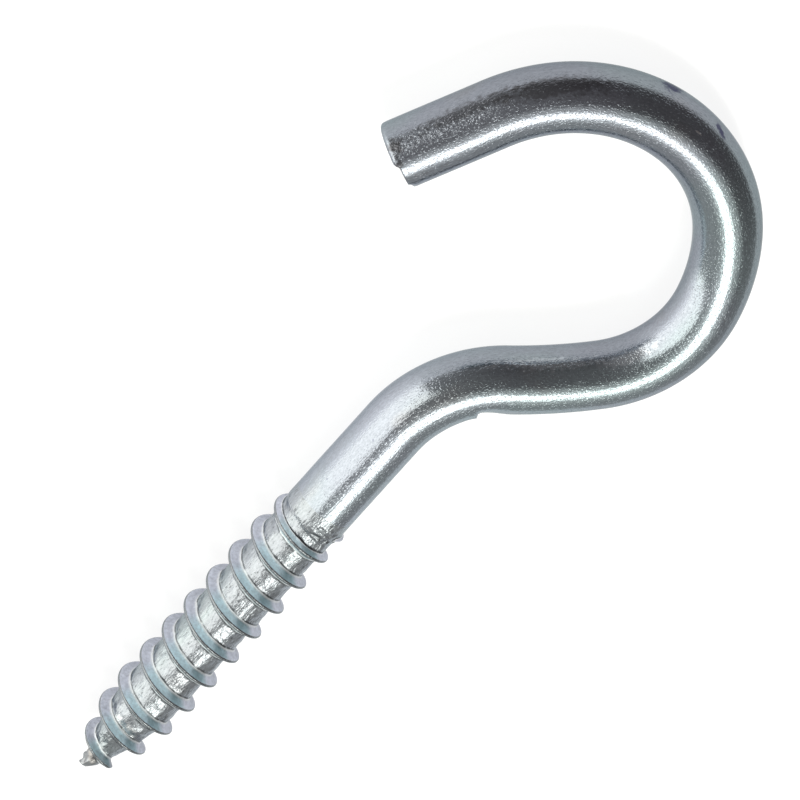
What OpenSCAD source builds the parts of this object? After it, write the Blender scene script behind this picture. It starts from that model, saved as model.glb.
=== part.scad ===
// Screw hook: one length of round wire with a coarse wood-screw thread rolled on one end,
// an offset bend above the plain shank and a round open hook on the load line.
// It lies flat: X runs along the screw from its point to the hook, the hook is in a level plane and Z is up.
// The origin is under the middle of the whole hook, on the surface it lies on.

/* [Wire] */
// Diameter of the drawn wire
wire_d = 5.8; // [5.4:0.1:6.2]

/* [Shank and offset] */
// Plain shank from the end of the thread to the first bend
shank_length = 11.2; // [8:0.1:16]
// Radius of the first bend, on the middle of the wire
offset_bend_r = 10.9; // [9:0.1:13]
// Turn of the first bend, in degrees
offset_bend_turn = 57.5; // [53:0.1:62]
// Radius of the gentle curve between the first bend and the hook
offset_run_r = 44.4; // [36:0.1:56]
// Turn of the gentle curve, in degrees
offset_run_turn = 10.1; // [7:0.1:13]

/* [Hook] */
// Radius of the lower outside of the hook
heel_r = 10.5; // [9.5:0.1:12.5]
// Turn of the lower outside, in degrees
heel_turn = 63.3; // [58:0.1:68]
// Radius of the flatter back of the hook
back_r = 17.9; // [14:0.1:20]
// Turn of the flatter back, in degrees
back_turn = 21.5; // [16:0.1:28]
// Radius over the top of the hook
crown_r = 14.1; // [12.5:0.1:15.5]
// Turn over the top, in degrees
crown_turn = 113.9; // [106:0.1:120]
// Straight nose at the open end
nose_length = 8.9; // [7:0.1:11]

/* [Cropped end] */
// Break on the edge of the cropped end
end_chamfer = 0.4; // [0.1:0.05:0.5]
// How far the torn part of the cropped face stands back
end_step = 0.36; // [0.2:0.02:0.5]
// Share of the face that is torn
end_step_share = 0.44; // [0.25:0.01:0.6]

/* [Screw] */
// Turn of the thread
thread_hand = -1; // [-1:Left, 1:Right]
// Length from the shoulder to the point
screw_length = 32.1; // [28:0.1:38]
// Diameter over the thread
thread_d = 7.05; // [6.8:0.05:7.6]
// Diameter of the core under the thread
core_d = 5.24; // [4.8:0.02:5.3]
// Rise of the thread in one turn
pitch = 3.16; // [2.8:0.02:3.6]
// Width of the ridge where it meets the core
ridge_width = 1.2; // [0.9:0.05:1.5]
// Width of the land on the crest
crest_width = 0.26; // [0.15:0.01:0.4]
// Angle round the shank where the crest leaves the shoulder, in degrees
thread_start = -82; // [-180:1:180]
// Break on the edge of the shoulder
shoulder_chamfer = 0.12; // [0.05:0.01:0.2]

/* [Point] */
// Length of the tapered point
point_length = 9.2; // [7:0.1:12]
// How far the tip is pushed to one side
tip_lean = 0.42; // [0:0.02:0.6]

/* [Hidden] */
$fn = 72;
wire_facets = 36;
wire_r = wire_d / 2;
core_r = core_d / 2;
thread_r = thread_d / 2;
// Every second length of wire is a hair slimmer and laps into its neighbours
lap_share = 0.026;
slim_share = 0.9965;
lap = wire_d * lap_share;
slim_r = wire_r * slim_share;
LEFT = 1;
RIGHT = -1;

// Headings along the wire in degrees, and the places where one length of it ends and the next begins,
// all measured from the shoulder on the screw's axis
function ahead(heading) = [cos(heading), sin(heading)];
function left_of(heading) = [-sin(heading), cos(heading)];
offset_heading = -offset_bend_turn;
heel_heading = offset_heading + offset_run_turn;
back_heading = heel_heading + heel_turn;
crown_heading = back_heading + back_turn;
nose_heading = crown_heading + crown_turn;
bend_end = [shank_length, -offset_bend_r] + offset_bend_r * left_of(offset_heading);
run_centre = bend_end + offset_run_r * left_of(offset_heading);
heel_centre = run_centre + (heel_r - offset_run_r) * left_of(heel_heading);
back_centre = heel_centre + (back_r - heel_r) * left_of(back_heading);
crown_centre = back_centre + (crown_r - back_r) * left_of(crown_heading);
nose_end = crown_centre - crown_r * left_of(nose_heading) + nose_length * ahead(nose_heading);
nose_corner = nose_end - end_chamfer * ahead(nose_heading) - slim_r * left_of(nose_heading);

// The whole hook's box
far_x = crown_centre[0] + crown_r + wire_r;
low_y = heel_centre[1] - heel_r - wire_r;
middle = [(far_x - screw_length) / 2, (nose_corner[1] + low_y) / 2];

// Thread grid: steps in a turn, and the ridge's section from the tip side to the head side,
// as shares across the flanks and of the ridge's height
thread_steps = 44;
flank = (ridge_width - crest_width) / 2;
hollow_share = 0.52;
hollow_height_share = 0.36;
section_x = [
    -crest_width / 2 - flank, -crest_width / 2 - flank * hollow_share, -crest_width / 2,
    crest_width / 2, crest_width / 2 + flank * hollow_share, crest_width / 2 + flank,
    pitch / 2
];
section_height_shares = [0, hollow_height_share, 1, 1, hollow_height_share, 0, 0];
columns = len(section_x);

// Where the ridge begins above the tip and where it has run out above the shoulder, in turns
first_ridge_share = 0.43;
run_out_share = 0.5;
rows = floor((screw_length / pitch - first_ridge_share + run_out_share) * thread_steps);
first_crest_x = -screw_length + first_ridge_share * pitch;

// The point: shares of its length against shares of the core, of the crest and of the lean
point_core_shares = [[0, 1], [0.2, 0.92], [0.42, 0.79], [0.62, 0.6], [0.8, 0.39], [1, 0.15]];
point_crest_shares = [[0, 1], [0.2, 0.96], [0.42, 0.885], [0.62, 0.73], [0.8, 0.54], [1, 0.16]];
point_lean_shares = [[0, 0], [0.3, 0.12], [0.6, 0.2], [0.8, 0.32], [1, 1]];
tip_share = 0.15;

// The run-out: turns below the shoulder against shares of the crest, of the core
// and of the pitch by which the crest sinks towards the point
run_out_crest_shares = [[-0.2, 0.74], [-0.1, 0.91], [0.23, 0.94], [1.2, 1]];
run_out_core_shares = [[0, 1.04], [0.8, 1.03], [1.8, 1]];
run_out_sink_shares = [[-0.5, 0.3], [-0.27, 0.22], [0.23, 0.05], [0.6, 0]];

function point_share(x) = (screw_length - point_length <= -x) ?
    (-x - screw_length + point_length) / point_length : 0;
function core_at(x) = core_r * lookup(point_share(x), point_core_shares)
    * lookup(-x / pitch, run_out_core_shares);
function crest_at(x) = thread_r * lookup(point_share(x), point_crest_shares)
    * lookup(-x / pitch, run_out_crest_shares);
function lean_at(x) = tip_lean * lookup(point_share(x), point_lean_shares);

// Crest position and angle at a row of the grid
function helix_x(row) = first_crest_x + pitch * row / thread_steps;
function crest_x(row) = helix_x(row) - pitch * lookup(-helix_x(row) / pitch, run_out_sink_shares);
function row_angle(row) = thread_start + thread_hand * 360 * helix_x(row) / pitch;

// A point of the screw's surface
function surface_point(x, r, angle) = [x, lean_at(x) + r * cos(angle), r * sin(angle)];
function grid_point(row, column) =
    let (x = crest_x(row) + section_x[column],
         height = max(0, crest_at(crest_x(row)) - core_at(crest_x(row))))
    surface_point(x, core_at(x) + height * section_height_shares[column], row_angle(row));

// Numbers of the points: first the line at the foot of the ridge, which is shared by two turns
lines = rows + thread_steps + 1;
function number(row, column) = column == 0 ? row :
    column == columns ? row + thread_steps :
    lines + row * (columns - 1) + column - 1;
tip_first = lines + (rows + 1) * (columns - 1);
top_point = tip_first + thread_steps;
function tip_number(row) = tip_first + row % thread_steps;

screw_points = concat(
    [for (row = [0 : lines - 1]) grid_point(row, 0)],
    [for (row = [0 : rows], column = [1 : columns - 1]) grid_point(row, column)],
    [for (row = [0 : thread_steps - 1])
        surface_point(-screw_length, core_r * tip_share, row_angle(row))],
    [[0, 0, 0]]
);

function pair(a, b, c, d) = [[a, b, c], [a, c, d]];
screw_sides = [for (row = [0 : rows - 1], column = [0 : columns - 1],
    face = pair(number(row, column), number(row, column + 1),
        number(row + 1, column + 1), number(row + 1, column))) face];
tip_sides = [for (row = [0 : thread_steps - 1], face = pair(number(row, 0), number(row + 1, 0),
    tip_number(row + 1), tip_number(row))) face];
ridge_start = [for (column = [0 : columns - 1])
    [number(0, column + 1), number(0, column), tip_number(0)]];
tip_end = [[for (row = [0 : thread_steps - 1]) tip_number(row)]];
top_sides = [for (row = [rows - thread_steps : rows - 1])
    [number(row, columns), top_point, number(row + 1, columns)]];
ridge_end = [for (column = [0 : columns - 1])
    [number(rows, column), number(rows, column + 1), top_point]];
screw_faces = concat(screw_sides, tip_sides, ridge_start, tip_end, top_sides, ridge_end);

// The screw, its shoulder at the origin and its point towards -X
module screw() {
    polyhedron(points = screw_points, faces = thread_hand > 0 ? screw_faces :
        [for (face = screw_faces) [for (k = [len(face) - 1 : -1 : 0]) face[k]]]);
}

// A solid turned about X from the points of its half section
module turned(section) {
    rotate([0, 90, 0]) rotate_extrude($fn = wire_facets) polygon(section);
}

// Plain shank, its edge broken at the shoulder and its other end lapped into the first bend
module shank() {
    turned([[0, 0], [slim_r - shoulder_chamfer, 0], [slim_r, shoulder_chamfer],
        [slim_r, shank_length + lap], [0, shank_length + lap]]);
}

// Bent wire that starts at the origin along X and turns to one side
module bend(radius, turn, side, section_r = wire_r, lap_turn = 0) {
    translate([0, side * radius, 0])
        rotate([0, 0, side == LEFT ? -90 - lap_turn : 90 - turn - lap_turn])
            rotate_extrude(angle = turn + 2 * lap_turn)
                translate([radius, 0]) circle(r = section_r, $fn = wire_facets);
}

// Bent wire a hair slimmer, lapped into the bends before and after it
module slim_bend(radius, turn, side) {
    bend(radius, turn, side, slim_r, lap / radius * 180 / PI);
}

// What follows a straight or a bend
module after_run(length) {
    translate([length, 0, 0]) children();
}
module after_bend(radius, turn, side) {
    translate([0, side * radius, 0]) rotate([0, 0, side * turn])
        translate([0, -side * radius, 0]) children();
}

// Straight nose with the cropped face: a broken edge and a torn strip on the inner side
module nose() {
    difference() {
        turned([[0, -lap], [slim_r, -lap], [slim_r, nose_length - end_chamfer],
            [slim_r - end_chamfer, nose_length], [0, nose_length]]);
        translate([nose_length - end_step, wire_r - wire_d * end_step_share, -wire_d])
            cube([wire_d, wire_d, wire_d * 2]);
    }
}

module screw_hook() {
    color([0.72, 0.74, 0.78]) translate([-middle[0], -middle[1], thread_r]) union() {
        screw();
        shank();
        after_run(shank_length) {
            bend(offset_bend_r, offset_bend_turn, RIGHT);
            after_bend(offset_bend_r, offset_bend_turn, RIGHT) {
                slim_bend(offset_run_r, offset_run_turn, LEFT);
                after_bend(offset_run_r, offset_run_turn, LEFT) {
                    bend(heel_r, heel_turn, LEFT);
                    after_bend(heel_r, heel_turn, LEFT) {
                        slim_bend(back_r, back_turn, LEFT);
                        after_bend(back_r, back_turn, LEFT) {
                            bend(crown_r, crown_turn, LEFT);
                            after_bend(crown_r, crown_turn, LEFT) nose();
                        }
                    }
                }
            }
        }
    }
}

screw_hook();
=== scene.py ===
"""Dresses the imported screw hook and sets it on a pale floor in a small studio.

The hook is one length of drawn wire with a coarse wood-screw thread rolled on its straight
end, bent to an open hook and bright zinc plated. Its mesh is made in millimetres, in the
frame of the solid that it replaces, and is turned to metres when it is finished.
"""

from __future__ import annotations

import logging
import math
from dataclasses import dataclass, field
from enum import Enum
from typing import Sequence, Union

import bmesh
import bpy
from mathutils import Matrix, Vector, noise

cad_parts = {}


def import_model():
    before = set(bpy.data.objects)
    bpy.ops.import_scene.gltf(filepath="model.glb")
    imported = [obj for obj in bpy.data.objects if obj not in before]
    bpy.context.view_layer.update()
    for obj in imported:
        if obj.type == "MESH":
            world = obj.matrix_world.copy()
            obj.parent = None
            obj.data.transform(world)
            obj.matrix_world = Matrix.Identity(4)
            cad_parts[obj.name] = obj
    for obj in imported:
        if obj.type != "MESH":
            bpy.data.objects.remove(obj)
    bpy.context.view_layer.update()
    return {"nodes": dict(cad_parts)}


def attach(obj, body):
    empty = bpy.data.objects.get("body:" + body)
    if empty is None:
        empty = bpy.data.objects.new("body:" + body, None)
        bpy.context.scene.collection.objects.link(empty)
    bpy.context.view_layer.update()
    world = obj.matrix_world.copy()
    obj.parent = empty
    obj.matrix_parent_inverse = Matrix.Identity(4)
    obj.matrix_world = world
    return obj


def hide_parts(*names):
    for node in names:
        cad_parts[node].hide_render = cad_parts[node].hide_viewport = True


LOG = logging.getLogger("screw_hook")
MM = 0.001
BODY = "root"
NODE = "screw_hook"
LAID_OUT = "laid_out"
RISE = "rise"
TORN = "torn"
SHOULDER = (-9.0333, -0.7079, 3.525)
UP = Vector((0.0, 0.0, 1.0))
NOISE_RANGE = (0.3, 0.7)
VECTOR, FLOAT, COLOUR = "NodeSocketVector", "NodeSocketFloat", "NodeSocketColor"

Table = Sequence[tuple[float, float]]
Pair = tuple[float, float]
Colour = tuple[float, float, float, float]
Mesh = bmesh.types.BMesh
Edges = Sequence[bmesh.types.BMEdge]
Ring = tuple[list[bmesh.types.BMVert], list[bmesh.types.BMEdge]]
Socket = bpy.types.NodeSocket
Value = Union[float, Sequence[float], Socket]


class Turn(Enum):
    """The side a bend turns to, seen from above."""

    LEFT = 1
    RIGHT = -1


class Hand(Enum):
    """The way a thread winds."""

    LEFT = -1
    RIGHT = 1


class Surface(Enum):
    """The material slots of the hook's mesh."""

    WIRE = 0
    SCREW = 1


def ease(share: float) -> float:
    """Eases a share in and out.

    Args:
        share: Any number; it is held between nought and one.

    Returns:
        The eased share.
    """
    held = min(1.0, max(0.0, share))
    return held * held * (3.0 - 2.0 * held)


def read_table(table: Table, at: float) -> float:
    """Reads a table of pairs with straight lines between them.

    Args:
        table: Pairs of place and value, in order of place.
        at: The place to read.

    Returns:
        The value there, held at the table's ends.
    """
    if at <= table[0][0]:
        return table[0][1]
    for (x0, v0), (x1, v1) in zip(table, table[1:]):
        if at <= x1:
            return v0 + (v1 - v0) * (at - x0) / (x1 - x0)
    return table[-1][1]


def direction(azimuth: float, elevation: float) -> Vector:
    """Turns two angles into a direction.

    Args:
        azimuth: Degrees from X towards Y.
        elevation: Degrees above the level.

    Returns:
        The unit vector.
    """
    turn, rise = math.radians(azimuth), math.radians(elevation)
    return Vector((math.cos(rise) * math.cos(turn), math.cos(rise) * math.sin(turn), math.sin(rise)))


def ring_parts(geom: Sequence[object]) -> Ring:
    """Sorts an operator's result into vertices and edges.

    Args:
        geom: What the operator gave back.

    Returns:
        The vertices and the edges.
    """
    verts = [part for part in geom if isinstance(part, bmesh.types.BMVert)]
    edges = [part for part in geom if isinstance(part, bmesh.types.BMEdge)]
    return verts, edges


def stand(name: str, data: bpy.types.ID) -> bpy.types.Object:
    """Puts a mesh, lamp or camera into the scene.

    Args:
        name: The object's name.
        data: What it shows.

    Returns:
        The object.
    """
    thing = bpy.data.objects.new(name, data)
    bpy.context.scene.collection.objects.link(thing)
    return thing


def grow_ring(bm: Mesh, edges: Edges, centre: Vector, share: float, move: Vector) -> Ring:
    """Extrudes a ring of edges to a smaller or larger ring beside it.

    Args:
        bm: The mesh.
        edges: The ring to start from.
        centre: The middle of that ring.
        share: The new ring's size as a share of the old one's.
        move: How far the new ring is shifted.

    Returns:
        The new ring's vertices and edges.
    """
    made = bmesh.ops.extrude_edge_only(bm, edges=list(edges))
    verts, new_edges = ring_parts(made["geom"])
    fresh = set(verts)
    new_edges = [edge for edge in new_edges if fresh.issuperset(edge.verts)]
    bmesh.ops.scale(bm, vec=(share, share, share), space=Matrix.Translation(-centre), verts=verts)
    bmesh.ops.translate(bm, vec=move, verts=verts)
    return verts, new_edges


@dataclass(frozen=True)
class Straight:
    """A straight length of the wire."""

    length: float


@dataclass(frozen=True)
class Bend:
    """A bent length of the wire, its radius on the middle of the wire."""

    radius: float
    degrees: float
    turn: Turn

    @property
    def length(self) -> float:
        """The length of wire in the bend."""
        return self.radius * math.radians(self.degrees)


@dataclass(frozen=True)
class Stop:
    """A place on the middle of the wire."""

    point: Vector
    heading: float

    @property
    def ahead(self) -> Vector:
        """The direction the wire runs in."""
        return Vector((math.cos(self.heading), math.sin(self.heading), 0.0))

    @property
    def left(self) -> Vector:
        """The level direction to the left of the wire."""
        return Vector((-math.sin(self.heading), math.cos(self.heading), 0.0))


@dataclass
class HookWire:
    """The plain wire: shank, offset bend, hook and cropped nose, swept ring by ring."""

    wire_d: float = 5.8
    sides: int = 96
    spacing: float = 0.24
    lengths: tuple[Union[Straight, Bend], ...] = (
        Straight(11.2),
        Bend(10.9, 57.5, Turn.RIGHT),
        Bend(44.4, 10.1, Turn.LEFT),
        Bend(10.5, 63.3, Turn.LEFT),
        Bend(17.9, 21.5, Turn.LEFT),
        Bend(14.1, 113.9, Turn.LEFT),
        Straight(8.9),
    )
    join_along: float = 2.0
    end_break: float = 0.4
    end_break_rings: int = 6
    face_rings: int = 16
    torn_back: float = 0.36
    torn_share: float = 0.62
    torn_wall: float = 0.4
    torn_rough: float = 0.05
    torn_lump: float = 2.6
    torn_least: float = 0.02
    untorn_share: float = 0.3
    corner_round: float = 0.4
    corner_from: float = 1.3
    corner_fade: float = 0.9
    mark_along: float = 19.0
    mark_angle: float = 150.0
    mark_reach: float = 48.0
    mark_ridge: float = 0.05
    mark_ridge_length: float = 1.1
    mark_hollow: float = 0.33
    mark_hollow_length: float = 3.6
    mark_step: float = 0.22
    mark_steep: float = 1.25
    waver: float = 0.022
    waver_length: float = 7.0
    waver_round: float = 0.2
    waver_fade: float = 2.0

    @property
    def wire_r(self) -> float:
        """Half the wire's diameter."""
        return self.wire_d / 2.0

    @property
    def total(self) -> float:
        """The length of the wire from the shoulder to the cropped face."""
        return sum(length.length for length in self.lengths)

    def stop_at(self, along: float) -> Stop:
        """Follows the middle of the wire.

        Args:
            along: Distance from the shoulder.

        Returns:
            The place there.
        """
        point, heading, left_over = Vector(SHOULDER), 0.0, along
        for number, length in enumerate(self.lengths):
            last = number == len(self.lengths) - 1
            part = left_over if last or left_over < length.length else length.length
            stop = Stop(point, heading)
            if isinstance(length, Straight):
                point = point + stop.ahead * part
            else:
                side = length.turn.value
                centre = point + stop.left * side * length.radius
                heading = heading + side * part / length.radius
                point = centre - Stop(centre, heading).left * side * length.radius
            left_over -= part
            if left_over <= 0.0:
                break
        return Stop(point, heading)

    def draw(self, bm: Mesh) -> None:
        """Sweeps the wire from above the thread's run-out to its cropped face.

        Args:
            bm: An empty mesh to draw it in.
        """
        laid = bm.verts.layers.float_vector[LAID_OUT]
        start = self.stop_at(self.join_along)
        place = Matrix.Translation(start.point) @ Matrix.Rotation(math.radians(90.0), 4, "Y")
        first = bmesh.ops.create_circle(
            bm, cap_ends=False, segments=self.sides, radius=self.wire_r, matrix=place
        )["verts"]
        for vert in first:
            off = vert.co - start.point
            vert[laid] = Vector((self.join_along, off.y, off.z))
        first_edges = list({edge for vert in first for edge in vert.link_edges})
        verts, edges, along = list(first), list(first_edges), self.join_along
        for number, length in enumerate(self.lengths):
            span = length.length
            span -= self.join_along if number == 0 else 0.0
            span -= self.end_break if number == len(self.lengths) - 1 else 0.0
            verts, edges = self.sweep(bm, verts, edges, length, along, span)
            along += span
        self.crop(bm, edges)
        self.work(bm)

    def sweep(
        self,
        bm: Mesh,
        verts: Sequence[bmesh.types.BMVert],
        edges: Edges,
        length: Union[Straight, Bend],
        along: float,
        span: float,
    ) -> Ring:
        """Spins a ring along one length of the wire.

        Args:
            bm: The mesh.
            verts: The ring's vertices.
            edges: The ring's edges.
            length: The straight or bend to follow.
            along: Where the ring is, from the shoulder.
            span: How much wire is swept.

        Returns:
            The last ring's vertices and edges.
        """
        laid = bm.verts.layers.float_vector[LAID_OUT]
        steps = max(2, round(span / self.spacing))
        stop = self.stop_at(along)
        before = len(bm.verts)
        if isinstance(length, Straight):
            centre, angle, stride = stop.point, 0.0, stop.ahead * (span / steps)
        else:
            centre = stop.point + stop.left * length.turn.value * length.radius
            angle, stride = length.turn.value * span / length.radius, Vector()
        made = bmesh.ops.spin(
            bm, geom=list(verts) + list(edges), cent=centre, axis=UP, dvec=stride, angle=angle,
            steps=steps, use_merge=False, use_duplicate=False,
        )
        bm.verts.ensure_lookup_table()
        for vert in bm.verts[before:]:
            if isinstance(length, Straight):
                gone = (vert.co - stop.point).dot(stop.ahead)
            else:
                arm = vert.co - centre
                out = stop.left * -length.turn.value
                gone = length.radius * math.atan2(arm.dot(stop.ahead), arm.dot(out))
            vert[laid].x = along + gone
        return ring_parts(made["geom_last"])

    def crop(self, bm: Mesh, edges: Edges) -> None:
        """Rounds the end of the wire, closes it and tears a strip of its face back.

        Args:
            bm: The mesh.
            edges: The last ring of the swept wire.
        """
        laid = bm.verts.layers.float_vector[LAID_OUT]
        torn = bm.verts.layers.float[TORN]
        before = len(bm.verts)
        stop = self.stop_at(self.total - self.end_break)
        radius, depth, ring = self.wire_r, 0.0, list(edges)
        sizes = [
            (
                self.wire_r - self.end_break * (1.0 - math.cos(turn)),
                self.end_break * math.sin(turn),
            )
            for turn in (
                math.radians(90.0) * (step + 1) / self.end_break_rings for step in range(self.end_break_rings)
            )
        ]
        face_r = sizes[-1][0]
        sizes += [
            (face_r * (1.0 - (step + 1) / self.face_rings), self.end_break)
            for step in range(self.face_rings - 1)
        ]
        verts: list[bmesh.types.BMVert] = []
        for new_radius, new_depth in sizes:
            centre = stop.point + stop.ahead * depth
            verts, ring = grow_ring(bm, ring, centre, new_radius / radius, stop.ahead * (new_depth - depth))
            radius, depth = new_radius, new_depth
        bmesh.ops.pointmerge(bm, verts=verts, merge_co=stop.point + stop.ahead * depth)
        bm.verts.ensure_lookup_table()
        border = self.wire_r - self.wire_d * self.torn_share
        for vert in bm.verts[before:]:
            off = vert.co - stop.point
            place = Vector((off.dot(stop.ahead), off.dot(stop.left), off.z))
            share = ease((place.y - border) / self.torn_wall + 0.5)
            ragged = noise.noise(place * self.torn_lump) * self.torn_rough
            ragged *= self.untorn_share + (1.0 - self.untorn_share) * share
            limit = self.end_break - share * self.torn_back + ragged - self.torn_least
            depth = min(place.x, max(self.torn_least, limit))
            vert.co = vert.co + stop.ahead * (depth - place.x)
            vert[laid] = Vector((self.total - self.end_break + depth, place.y, place.z))
            vert[torn] = share

    def work(self, bm: Mesh) -> None:
        """Gives the swept wire its waver, the mark of the bending tool and the nose's round corner.

        Args:
            bm: The mesh, with the wire alone in it.
        """
        laid = bm.verts.layers.float_vector[LAID_OUT]
        for vert in bm.verts:
            place = vert[laid].copy()
            around = math.atan2(place.z, place.y)
            stop = self.stop_at(place.x)
            out = stop.left * math.cos(around) + UP * math.sin(around)
            spot = Vector((place.x / self.waver_length, place.y * self.waver_round, place.z * self.waver_round))
            swell = noise.noise(spot) * self.waver
            for inside in (place.x - self.join_along, self.total - place.x):
                swell *= ease(inside / self.waver_fade)
            vert.co = vert.co + out * (swell + self.tool_mark(place.x, math.degrees(around)))
            vert.co = vert.co - (stop.left * place.y + UP * place.z) * self.corner(place)

    def corner(self, place: Vector) -> float:
        """Reads how far the inner corner of the torn nose is rounded off.

        Args:
            place: The laid-out place on the wire.

        Returns:
            The share of the radius that is gone there.
        """
        gone = (place.x - self.total + self.end_break) / self.corner_round + 1.0
        held = min(1.0, max(0.0, gone))
        side = ease((place.y - self.corner_from) / self.corner_fade)
        return self.corner_round / self.wire_r * (1.0 - math.sqrt(1.0 - held * held)) * side

    def tool_mark(self, along: float, around: float) -> float:
        """Reads the step that the bending tool left on the inside of the first bend.

        Args:
            along: Distance from the shoulder.
            around: Angle round the wire from its left side, in degrees.

        Returns:
            How far the surface stands out there.
        """
        apart = (around - self.mark_angle + 180.0) % 360.0 - 180.0
        across = ease(self.mark_steep * (1.0 - abs(apart) / self.mark_reach))
        if across <= 0.0:
            return 0.0
        gone = along - self.mark_along
        ridge = self.mark_ridge * ease(1.0 + gone / self.mark_ridge_length)
        hollow = -self.mark_hollow * ease(1.0 - gone / self.mark_hollow_length)
        over = ease(gone / self.mark_step + 0.5)
        return across * (ridge * (1.0 - over) + hollow * over)


@dataclass
class RolledScrew:
    """The wood-screw thread: a ridge rolled round the core, its run-out and its point."""

    length: float = 32.1
    thread_d: float = 7.05
    core_d: float = 5.24
    pitch: float = 3.16
    ridge_width: float = 1.2
    crest_width: float = 0.26
    crest_round: float = 0.05
    flank_run: float = 0.25
    flank_foot: float = 0.24
    fillet_run: float = 0.42
    start: float = -82.0
    hand: Hand = Hand.LEFT
    steps: int = 96
    turns_below: int = 1
    turns: int = 13
    first_ridge: float = 0.43
    ridge_lead: float = 0.1
    wire_d: float = 5.8
    shoulder_at: float = 0.3
    shoulder_break: float = 0.8
    shoulder_wander: float = 0.3
    shoulder_lump: float = 1.1
    crease: float = 0.11
    crease_size: float = 0.42
    crease_reach: float = 0.6
    crease_angle: float = 100.0
    crease_spread: float = 1.0
    crinkle: float = 1.6
    crinkle_reach: float = 3.4
    shoulder_rings: tuple[float, ...] = (
        -0.6, -0.45, -0.3, -0.15, 0.0, 0.12, 0.24, 0.36, 0.48, 0.6, 0.75, 0.9, 1.1,
    )
    rise_fade: float = 0.4
    blend: float = 0.05
    join_at: float = 1.9
    point_length: float = 9.2
    tip_lean: float = 0.42
    tip_round: float = 0.14
    tip_near: float = 0.01
    tip_rings: Table = ((0.9, 0.45), (0.7, 0.78), (0.4, 0.95))
    dent: float = 0.09
    dent_r: float = 2.6
    dent_size: float = 0.8
    nick: float = 0.03
    nick_size: float = 0.36
    crest_ragged: float = 0.02
    crest_lump: float = 0.7
    crest_apart: float = 9.0
    least_height: float = 0.01
    tip_ragged: float = 0.26
    tip_lump: float = 1.7
    ragged_from: float = 0.6
    tip_torn: float = 0.6
    torn_from: float = 0.75
    weld: float = 0.002
    cut_close: float = 0.0005
    half_columns: tuple[float, ...] = (
        0.0, 0.06, 0.105, 0.135, 0.17, 0.24, 0.33, 0.42, 0.48, 0.515, 0.555, 0.6, 0.66, 0.76, 0.92, 1.1, 1.34, 1.58,
    )
    point_core: Table = ((0.0, 1.0), (0.2, 0.92), (0.42, 0.79), (0.62, 0.6), (0.8, 0.39), (1.0, 0.15))
    point_crest: Table = ((0.0, 1.0), (0.2, 0.96), (0.42, 0.885), (0.62, 0.73), (0.8, 0.54), (1.0, 0.16))
    point_lean: Table = ((0.0, 0.0), (0.3, 0.12), (0.6, 0.2), (0.8, 0.32), (1.0, 1.0))
    run_out_crest: Table = ((-0.2, 0.74), (-0.1, 0.91), (0.23, 0.94), (1.2, 1.0))
    run_out_core: Table = ((0.0, 1.04), (0.8, 1.03), (1.8, 1.0))
    run_out_sink: Table = ((-0.5, 0.3), (-0.27, 0.22), (0.23, 0.05), (0.6, 0.0))

    def point_share(self, x: float) -> float:
        """How far into the point a place lies, from nought at its root to one at the tip."""
        return (-x - self.length + self.point_length) / self.point_length

    def core_at(self, x: float) -> float:
        """The core's radius at a distance from the shoulder."""
        return (
            self.core_d / 2.0 * read_table(self.point_core, self.point_share(x))
            * read_table(self.run_out_core, -x / self.pitch)
        )

    def crest_at(self, x: float) -> float:
        """The crest's radius at a distance from the shoulder."""
        return (
            self.thread_d / 2.0 * read_table(self.point_crest, self.point_share(x))
            * read_table(self.run_out_crest, -x / self.pitch)
        )

    def lean_at(self, x: float) -> float:
        """How far the point leans to the side there."""
        return self.tip_lean * read_table(self.point_lean, self.point_share(x))

    def sink_at(self, helix_x: float, offset: float) -> float:
        """Reads how far the run-out is pushed towards the point, shared between two turns.

        Args:
            helix_x: Place of the crest on the even helix.
            offset: Distance along the screw from the middle of the crest.

        Returns:
            The shift; halfway between two turns it is the mean of theirs.
        """
        own = read_table(self.run_out_sink, -helix_x / self.pitch)
        other = read_table(self.run_out_sink, -(helix_x + math.copysign(self.pitch, offset)) / self.pitch)
        half = self.pitch / 2.0
        share = ease((abs(offset) - self.ridge_width / 2.0) / (half - self.ridge_width / 2.0)) / 2.0
        return self.pitch * (own + (other - own) * share)

    def section(self, offset: float) -> float:
        """Reads the ridge's section: a land, a straight steep flank and a small fillet.

        Args:
            offset: Distance along the screw from the middle of the crest.

        Returns:
            The share of the ridge's height there.
        """
        land, apart = self.crest_width / 2.0, abs(offset)
        if apart <= land:
            return 1.0 - self.crest_round * (apart / land) ** 2
        gone = (apart - land) / self.flank_run
        if gone <= 1.0:
            return 1.0 - self.crest_round - (1.0 - self.crest_round - self.flank_foot) * gone
        left = max(0.0, 1.0 - (apart - land - self.flank_run) / self.fillet_run)
        return self.flank_foot * left * left

    def base_at(self, place: Vector) -> float:
        """Reads the radius without the ridge: the core, the soft shoulder, then the wire.

        Args:
            place: A place on the screw, from the shoulder.

        Returns:
            The radius there.
        """
        wander = noise.noise(place * self.shoulder_lump) * self.shoulder_wander
        step = ease((place.x - self.shoulder_at + wander) / self.shoulder_break + 0.5)
        return self.core_at(place.x) + (self.wire_d / 2.0 - self.core_at(place.x)) * step

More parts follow.
